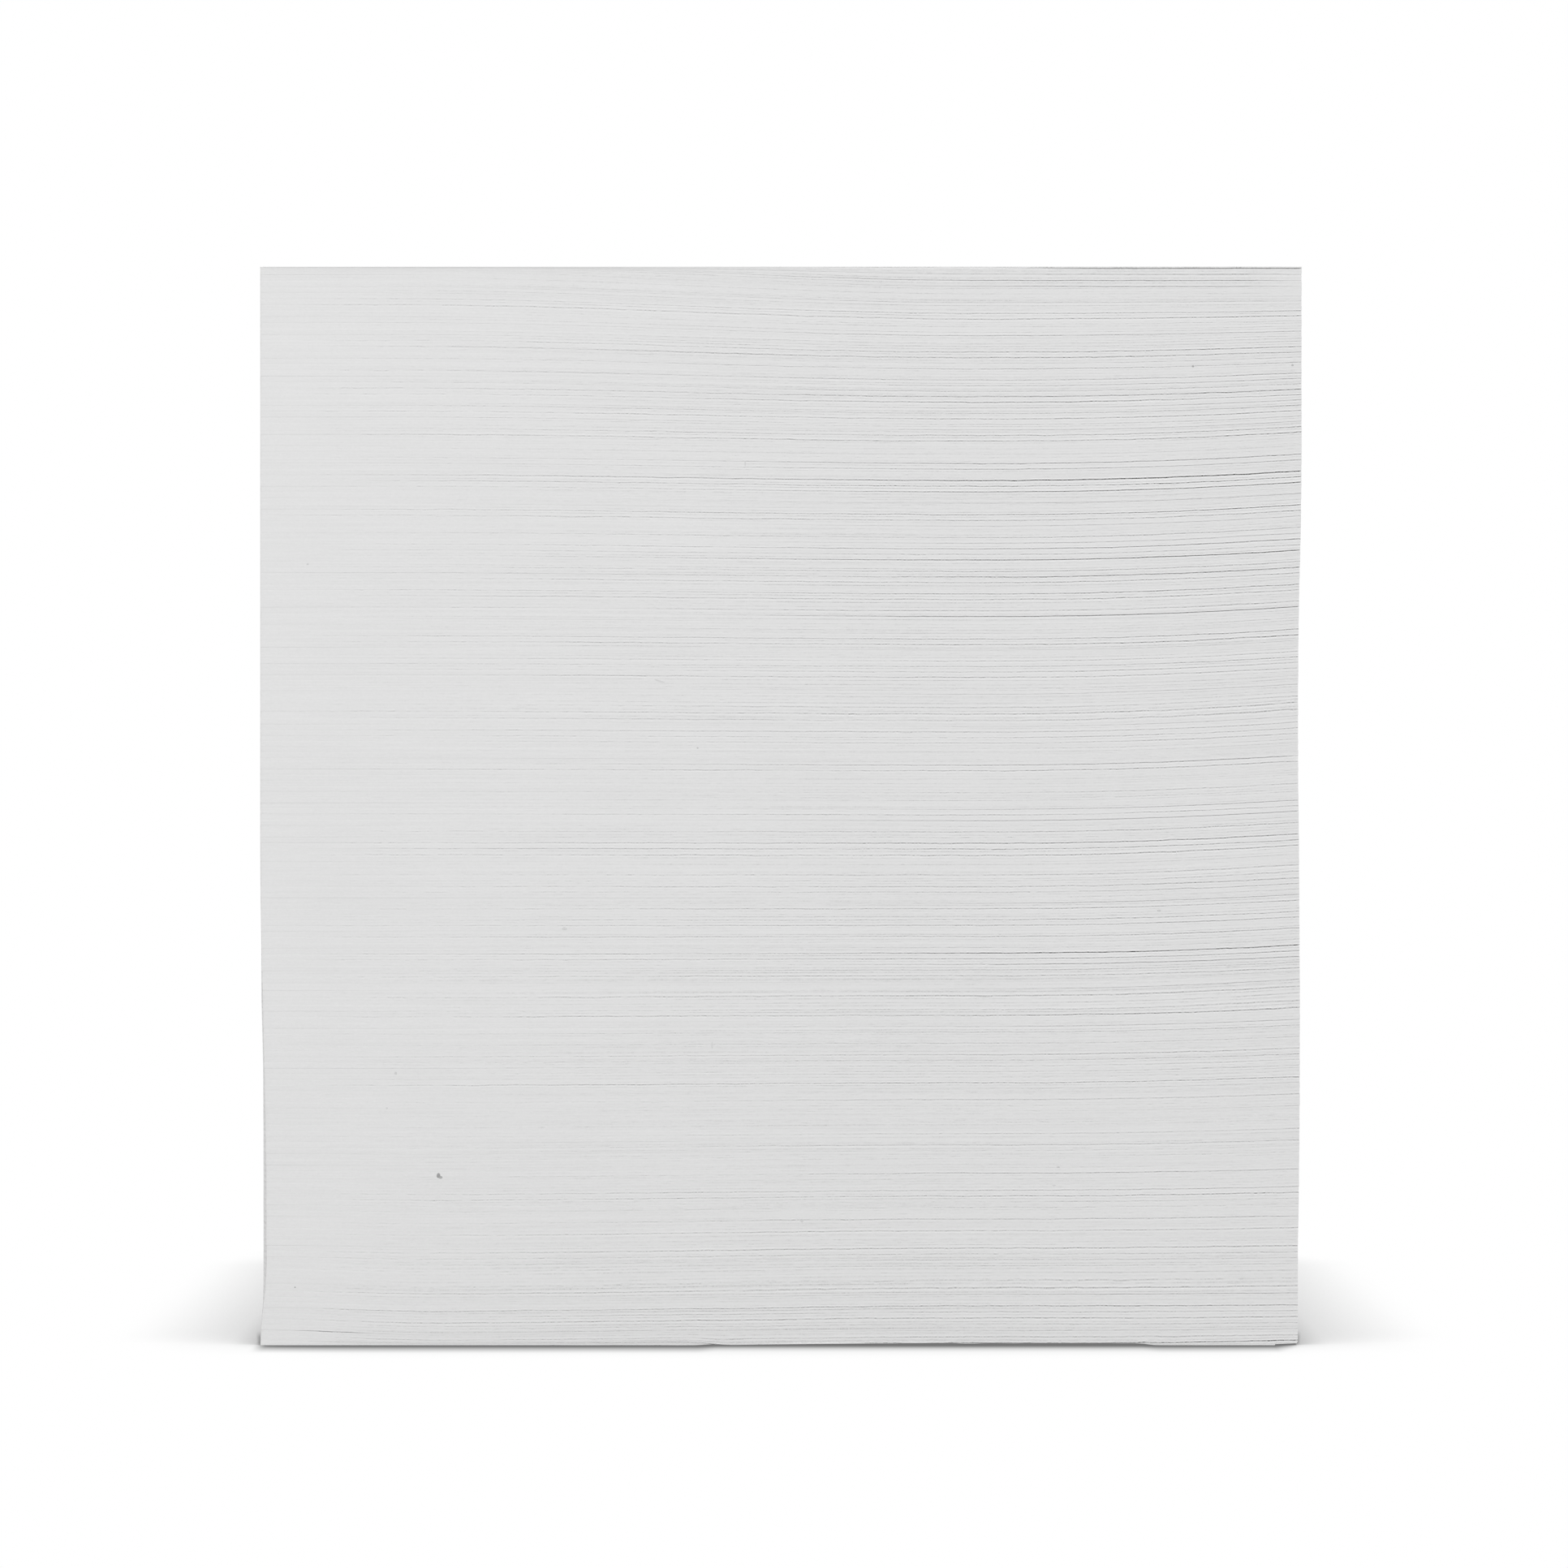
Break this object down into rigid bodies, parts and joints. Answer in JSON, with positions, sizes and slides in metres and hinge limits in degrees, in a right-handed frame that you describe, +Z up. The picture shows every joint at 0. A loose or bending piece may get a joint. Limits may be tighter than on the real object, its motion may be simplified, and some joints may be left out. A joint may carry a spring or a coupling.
{
  "type": "memo cube",
  "caption": "Memo cube: a tall square block of plain white loose-leaf sheets, padded with glue down one side and slightly fanned at the other.",
  "frame": {"origin": "middle of the base, on the surface that the block stands on", "axes": "+Z up through the sheets, -Y out of the front sheet edges, -X out of the glued side, +X out of the loose side"},
  "size_m": [0.09, 0.09, 0.0932],
  "materials": {
    "white_paper": "matte",
    "dried_glue": "satin"
  },
  "bodies": {
    "root": {"sheet_block": "white_paper", "padding_glue": "dried_glue"}
  },
  "joints": []
}
